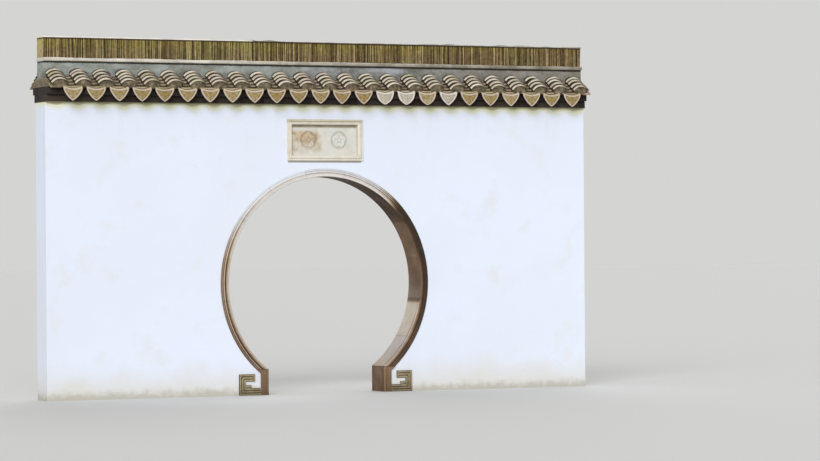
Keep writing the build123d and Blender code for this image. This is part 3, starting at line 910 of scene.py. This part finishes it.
# Pans: a trough whose height is the sag times the square of the way across, less the sag; each course lies on the
# next one down, so it is lifted more towards the ridge, and its back end dips under the course above
def addPans(side):
    across = np.linspace(-1, 1, 9)
    trough = slopes["panSag"] * (across**2 - 1)
    x = thereAndBack(across) * slopes["panHalf"]
    rise = thereAndBack(trough, trough - slopes["panThick"])
    upper = np.concatenate([np.ones(9), np.zeros(9)])
    # painted shade on the pan's ears, in the gaps between the drips
    ear = np.clip(np.abs(thereAndBack(across)) * 5 - 3.6, 0, 1) * 0.9
    step = slopes["panRun"] / slopes["courses"]
    piece = Piece("tone", "shade", "rim")
    for place in range(-slopes["rows"], slopes["rows"]):
        for course in range(slopes["courses"]):
            front = (course + 1) * step + float(np.clip(chance.normal(0, 0.002), -0.004, 0.004))
            dip = column(-0.005, -0.002, 0, 0, -0.0015) * upper
            lift = slopes["panLap"] * (slopes["courses"] - course) + dip
            middle = (place + 0.5) * slopes["tilePitch"] + chance.normal(0, 0.0015)
            tilt = chance.normal(0, 0.03) * 0.3
            section = onBed(middle + x, stations(course * step - 0.013, front), rise + lift + tilt * x)
            lip = chance.uniform(0.5, 1) * (1 if course == slopes["courses"] - 1 else 0.4)
            # painted shade towards the back of each pan, under the pan above
            piece.skin(section, tone=chance.uniform(0, 1), shade=np.maximum(column(1, 0.85, 0.2, 0, 0), ear),
                       rim=lip * column(0, 0, 0, 1, 1))
    for end in (-1, 1):
        x0, x1 = sorted(end * x for x in slopes["edging"])
        flat = onBed(np.array([x0, x1, x1, x0]), column(0, slopes["run"] - 0.003), np.array([0, 0, -0.015, -0.015]))
        piece.skin(flat, tone=0.4)
    makeSlope(piece, side, "pan")


# Covers: arches of part of a circle, four to a row, each a little higher at its front end than at its back, on a bed
# of mortar that fills the row from the pans up to the arches and bulges a little at the mouth
def addCovers(side):
    half, arch, thick, bed = (slopes[key] for key in ("coverHalf", "coverArch", "coverThick", "coverBed"))
    radius = (half**2 + arch**2) / (2 * arch)
    sweep = math.asin(half / radius)
    spring = bed - radius * math.cos(sweep)
    angle = np.linspace(-sweep, sweep, 11)
    step = slopes["coverRun"] / slopes["courses"]
    inner = np.concatenate([np.zeros(11), np.ones(11)])
    flank = thereAndBack(np.clip((angle / sweep - 0.05) / 0.6, 0, 1))  # painted shade on the right-hand side, which also dims the lip
    under, bedHalf = radius - thick - 0.0015, slopes["bedHalf"]
    bedX = np.concatenate([under * np.sin(angle * 0.8), np.array([1, 0.97, -0.97, -1]) * bedHalf])
    bedRise = np.concatenate([under * np.cos(angle * 0.8) + spring, [bed * 0.6, -0.022, -0.022, bed * 0.6]])
    bedRun, mouth = column(0, 0.120, 0.166, 0.173, 0.1765, 0.1775), column(1, 1, 1, 0.97, 0.72, 0.35)
    piece = Piece("tone", "shade", "rim", "mortar")
    for place in range(-slopes["rows"], slopes["rows"] + 1):
        middle = place * slopes["tilePitch"]
        rowTone, sunk = chance.uniform(0.25, 0.6), 0.004 if abs(place) == slopes["rows"] else 0.012
        for course in range(slopes["courses"]):
            uneven = float(np.clip(chance.normal(0, 0.003), -0.005, 0.005))  # not at the eave
            front = (course + 1) * step + uneven * (course < slopes["courses"] - 1)
            outer = radius - column(0.012, 0.007, 0.003, 0, 0.001)
            shift, lean = np.clip(chance.normal(0, 0.003), -sunk / 2, sunk / 2), chance.normal(0, 0.03)
            lap = slopes["coverLap"] * (slopes["courses"] - 1 - course)
            x = thereAndBack(outer * np.sin(angle), (outer - thick) * np.sin(angle))
            rise = thereAndBack(outer * np.cos(angle), (outer - thick) * np.cos(angle)) + spring + lap + lean * x
            # painted shade on the hidden back of each tile and on its underside
            shade = np.maximum(column(1, 1, 0.7, 0.1, 0), inner)
            shade[-1] = 0
            tone = np.clip(rowTone + chance.normal(0, 0.24) + (0.3 if course == 0 else 0), 0, 1)
            rim = column(0, 0, 0, 1, 1) * (1 - 0.8 * flank) * (0.6 + 0.4 * tone)
            piece.skin(onBed(middle + x + shift, stations(course * step - 0.012, front), rise),
                       tone=tone, shade=np.maximum(shade, 0.84 * flank), rim=rim)
        ragged = 0.05 * wobble(np.arange(len(bedX)) * 0.1 + place, 4, 0.15, 0.6) * column(0, 0, 0, 1, 1, 1)
        squeeze = mouth * (1 + ragged)
        rise = slopes["bedMiddle"] + (bedRise - slopes["bedMiddle"]) * squeeze
        # painted shade on the bed under the arches, darkest at the back
        piece.skin(onBed(middle + bedX * squeeze, bedRun, rise),
                   tone=chance.uniform(0.1, 0.9), shade=column(0.9, 0.9, 0.75, 0.6, 0.2, 0), mortar=1.0)
    makeSlope(piece, side, "cover")


dripShape = {
    "down": [0, 0.05, 0.12, 0.22, 0.33, 0.44, 0.54, 0.63, 0.72, 0.82, 0.92, 1],
    "pointed": [0.95, 1, 0.995, 0.965, 0.91, 0.82, 0.73, 0.635, 0.53, 0.38, 0.20, 0.03],  # share of the half width
    "rounded": [0.95, 1, 0.99, 0.96, 0.93, 0.88, 0.82, 0.75, 0.65, 0.50, 0.30, 0.08],
    # places of limewashed tiles on the front, counted from the middle: outline and how white
    "limed": {2: ("rounded", 1.0), 3: ("rounded", 1.0), 4: ("rounded", 0.62), 5: ("pointed", 0.8)},
    "stations": [0, 0.03, 0.085, 0.108, 0.146, 0.21, 0.3, 0.4, 0.5, 0.6, 0.7, 0.79, 0.86, 0.91, 0.95, 0.98, 1],
    "rimSteps": [0, 0.003, 0.0105, 0.014, 0.0175, 0.022],  # metres in from the edge
    "fieldSteps": [0.8, 0.6, 0.4, 0.2],  # shares of what is left
    "rimWidth": 0.0145,
    "rimRise": 0.003,
    "reliefRise": 0.0028,
    "lineDepth": 0.0012,
    # mounds of the sprig: strength, whether it is on both sides, middle across and down, half sizes, and turn
    "sprig": [(1, False, 0, 0.33, 0.17, 0.11, 0), (1, True, 0.36, 0.43, 0.25, 0.10, 0.7),
              (0.9, False, 0, 0.63, 0.13, 0.14, 0), (0.7, True, 0.55, 0.29, 0.16, 0.07, 0)],
}


# Soft mounds over ellipses, each turned by an angle and falling off with the square of the distance, added up
def sprig(x, v):
    height = 0
    for strength, both, middleX, middleV, halfX, halfV, turn in dripShape["sprig"]:
        dx, dv = (np.abs(x) if both else x) - middleX, v - middleV
        along, aside = dx * math.cos(turn) + dv * math.sin(turn), dv * math.cos(turn) - dx * math.sin(turn)
        height = height + strength * np.exp(-((along / halfX) ** 2) - (aside / halfV) ** 2)
    return np.clip(height, 0, 1)


# A drip tile: a shield under the hollow of its pan, whose half width follows its outline down to the tip; the points
# across keep to the rim, which stands out over the field, and a bud with leaves stands in the middle
def addDrips(side):
    half, height, sagged = slopes["dripHalf"], slopes["dripHeight"], slopes["dripSag"]
    v = column(*dripShape["stations"])
    slant = np.interp(v, [0.2, 0.45], [1, 0.74]) * half
    across = np.linspace(-1, 1, 9)
    trough = sagged * (across**2 - 1) - 0.001
    panRise = thereAndBack(trough, trough - slopes["panThick"]) - column(0, 0, 0, 0.0015)
    piece = Piece("tone", "rim", "relief", "line", "pale", "shade")
    for place in range(-slopes["rows"], slopes["rows"]):
        kind, pale = dripShape["limed"].get(place if side < 0 else None, ("pointed", chance.uniform(0, 0.3)))
        width = np.interp(v, dripShape["down"], dripShape[kind])
        edgeX = width - np.array(dripShape["rimSteps"]) * np.minimum(1, width * slant / 0.026) / slant
        halfX = np.concatenate([edgeX, edgeX[:, -1:] * np.array(dripShape["fieldSteps"])], 1)
        x = np.concatenate([-halfX, 0 * v, halfX[:, ::-1]], 1)
        u = x / width
        sag = sagged * (1 - u**2)
        edge = np.minimum((width - np.abs(x)) * slant, v * (height - sag))
        rim = np.clip((dripShape["rimWidth"] + 0.0012 - edge) / 0.0024, 0, 1)
        relief = sprig(x, v) * (1 - rim)
        line = np.maximum(ridgeOf(edge - 0.0190, 0.0042), 0.8 * ridgeOf(relief - 0.3, 0.15) * (1 - rim))
        swing, slip = chance.normal(0, 0.014), chance.normal(0, 0.0018)
        middle = (place + 0.5) * slopes["tilePitch"]
        drop = sag * (1 - v) + v * (height - 0.0005) + 0.004 * np.abs(u) ** 8 * (1 - v) ** 4
        y = 0.0006 - slopes["eaveY"] + dripShape["rimRise"] * (1 - rim) + 0.0016 * np.exp(-edge / 0.0016)
        y = y - dripShape["reliefRise"] * relief + dripShape["lineDepth"] * line
        z = np.maximum(slopes["eaveZ"] - drop + swing * x * half, slopes["dripLowest"])
        whole = chance.uniform(0, 1)
        piece.slab(grid(middle + slip + x * half + swing * drop, y, z), slopes["dripBackY"],
                   tone=whole, rim=rim, relief=relief, line=line, pale=pale)
        # painted shade on the drip's trough under the lowest pan's lip
        run = column(0.100, 0.178, 0.186, 0.1945)
        piece.skin(onBed(middle + thereAndBack(across) * half * 0.99, run, panRise),
                   tone=whole, pale=pale, shade=column(1, 1, 0.15, 0), rim=column(0, 0, 0, 1))
    makeSlope(piece, side, "drip", 30)


# Ridge

ridge = {
    "station": 0.022,
    "tileThick": 0.0088,
    "tileGap": 0.0015,
    "bow": 0.006,
    "endGap": 0.002,
    "across": [-1, -0.94, -0.5, 0, 0.5, 0.94, 1],
    "edgeEase": [0.22, 0, 0, 0, 0, 0, 0.22],  # shares of the thickness
    "wideGap": (0.16, 0.003, 0.0055),  # share of the tiles, least and most
    "setBack": (0.2, 0.003, 0.008),
    "uneven": (0.0024, 0.0095),  # usual and most
    "tilt": 0.0014,
    "coreInset": (0.006, 0.011),  # along and across the ridge
    # points of a section: share of the half depth and share of the height
    "fillet": [(-0.80, 0), (0.80, 0), (0.97, 0.10), (1, 0.2), (1, 0.80), (0.97, 0.93), (0.90, 1), (-0.90, 1),
               (-0.97, 0.93), (-1, 0.80), (-1, 0.2), (-0.97, 0.10)],
    "cap": [(-0.93, 0), (0.93, 0), (1, 0.22), (0.99, 0.48), (0.95, 0.66), (0.84, 0.88), (0.5, 1), (-0.5, 1),
            (-0.84, 0.88), (-0.95, 0.66), (-0.99, 0.48), (-1, 0.22)],
    # tones against the place along the wall; the upper ones are paler and the lower ones darker as painted light
    "filletFace": ([-2.8, -1.1, -0.6, 0.1, 0.5, 1.4, 2.8], [0.24, 0.24, 0.38, 0.47, 0.56, 0.62, 0.64]),
    "filletEdge": ([-2.8, -0.9, 0.6, 1.6, 2.8], [0.16, 0.12, 0.16, 0.40, 0.46]),
    "capUpper": ([-0.72, -0.42, -0.36, 0.6, 1.3, 2.8], [0.72, 0.72, 0.14, 0.24, 0.46, 0.5]),
    "capLower": ([-0.72, 1.3, 1.6, 2.8], [0.95, 0.86, 0.62, 0.7]),
    "leftCapUpper": ([0], [0.02]),
    "leftCapLower": ([0], [0.5]),
}


# Lime moulding: a rounded section carried along the wall, each point moved a little by sums of sines, its tone by the
# place along the wall, with one tone above a share of the height and one below
def limeRun(name, nodeName, section, rough, upper, lower, split):
    low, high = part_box(nodeName)
    x = column(*np.linspace(low.x, high.x, int((high.x - low.x) / ridge["station"])))
    across, share = np.array(ridge[section], float).T
    waves = np.concatenate([wobble(x + 3 * i, 7, 0.04, 0.7) for i in range(len(share))], 1)
    waves = waves * 0.35 + wobble(x, 8, 0.05, 0.9) * 0.65
    lift = np.clip(wobble(x, 9, 0.05, 1.1), -1, 1) * rough * (share > 0.6)
    y = across * (high.y - rough) + np.clip(waves, -1, 1) * rough * np.sign(across)
    z = low.z + share * (high.z - low.z - rough) + lift
    tone = np.where(share > split, np.interp(x, *ridge[upper]), np.interp(x, *ridge[lower]))
    piece = Piece("tone")
    piece.skin(grid(x, y, z), tone=np.clip(tone + 0.1 * wobble(x, 6, 0.1, 0.8), 0, 1))
    piece.make(name, nodeName, "lime", "lime_cap")


# Tiles on end: each is a thin bowed plate across the ridge, its middle further along than its edges by the bow times
# one less the square of the way across, with a core behind the edges that is dark as painted shade in the gaps
def addStanding(name, nodeName):
    low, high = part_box(nodeName)
    length = high.x - low.x - 2 * ridge["endGap"]
    count = int(length / (ridge["tileThick"] + ridge["tileGap"]))
    weight = chance.uniform(0.75, 1.25, count)
    width = weight / weight.sum() * length
    start = low.x + ridge["endGap"] + np.cumsum(width) - width
    across = np.array(ridge["across"])
    share, least, most = ridge["wideGap"]
    gap = np.where(chance.uniform(0, 1, count) < share, chance.uniform(least, most, count), ridge["tileGap"])
    ease = np.array(ridge["edgeEase"])
    share, least, most = ridge["setBack"]
    back = np.where(chance.uniform(0, 1, (count, 1)) < share, chance.uniform(least, most, (count, 1)), 0)
    usual, most = ridge["uneven"]
    out = high.y - np.clip(np.abs(chance.normal(0, usual, (count, 2))) + back, 0, most)
    y = thereAndBack(across * np.where(across < 0, out[:, :1], out[:, 1:]))
    bowed = start[:, None] + ridge["bow"] * (1 - across**2) - ridge["bow"] * 0.5
    thick = (width - gap)[:, None]
    x = thereAndBack(bowed + thick * ease, bowed + thick * (1 - ease))
    tilt = chance.normal(0, ridge["tilt"], count)[:, None]
    drift = 0.5 + 0.09 * wobble(start, 5, 0.2, 1.6) + np.interp(start, [-0.8, -0.6], [0.10, 0])
    tone = np.clip(drift + 0.13 * (-1.0) ** np.arange(count) + chance.normal(0, 0.30, count), 0, 1)
    ends = [grid(np.clip(x + way * tilt, low.x, high.x), y, z) for way, z in ((-1, low.z), (1, high.z - 0.0005))]
    piece = Piece("tone", "shade")
    for plate, own in zip(np.stack(ends, 1), tone):
        piece.skin(plate, tone=own)
    piece.core(low, high, *ridge["coreInset"], tone=0.1, shade=1.0)
    piece.make(name, nodeName, "standing", "roof_tile", 30)


finishes = {
    "plaster": whitePlaster(),
    "lining": polishedBrick(),
    "scroll": scrollBrick(),
    "plaque": plaqueBrick(),
    "coping": copingBrick(),
    "bedding": beddingMortar(),
    "pan": roofTile("panTile", (88, 72, 54), (130, 112, 88), (168, 150, 122), (206, 186, 150)),
    "cover": roofTile("coverTile", (136, 122, 98), (190, 178, 152), (226, 218, 200), (236, 226, 208)),
    "drip": dripTile(),
    "ridge": ridgePlaster(),
    "lime": limeCap(),
    "standing": standingTile(),
}
print("finishes ready:", len(finishes))

keptNodes = {"left_wall": "plaster", "right_wall": "plaster", "wall_over_gate": "plaster", "coping_core": "bedding",
             "ridge_base": "ridge"}  # their shape stays
for nodeName, finish in keptNodes.items():
    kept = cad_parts[nodeName]
    kept.data.materials.clear()
    kept.data.materials.append(finishes[finish])

for number in range(lining["count"]):
    addSegment(number)
for side in (-1, 1):
    addFoot(side)
print("lining ready:", lining["count"], "segments and two feet")

for side in (-1, 1):
    for face in (-1, 1):
        addScroll(side, face)
print("scrolls ready")

for turn, name in enumerate(("top", "right", "bottom", "left")):
    addBorder(name, turn)
addPanel()
print("plaque ready")

addCourse("lower_eave_course", 0.0)
addCourse("upper_eave_course", 0.12)
print("brick courses ready")

for side in (-1, 1):
    addPans(side)
    addCovers(side)
    addDrips(side)
print("tiled slopes ready")

limeRun("fillet_lime", "ridge_fillet", "fillet", 0.0022, "filletEdge", "filletFace", 0.9)
limeRun("left_cap_lime", "left_ridge_cap", "cap", 0.004, "leftCapUpper", "leftCapLower", 0.1)
limeRun("right_cap_lime", "right_ridge_cap", "cap", 0.0065, "capUpper", "capLower", 0.3)
addStanding("left_standing_tiles", "left_ridge_tiles")
addStanding("right_standing_tiles", "right_ridge_tiles")
print("ridge ready")
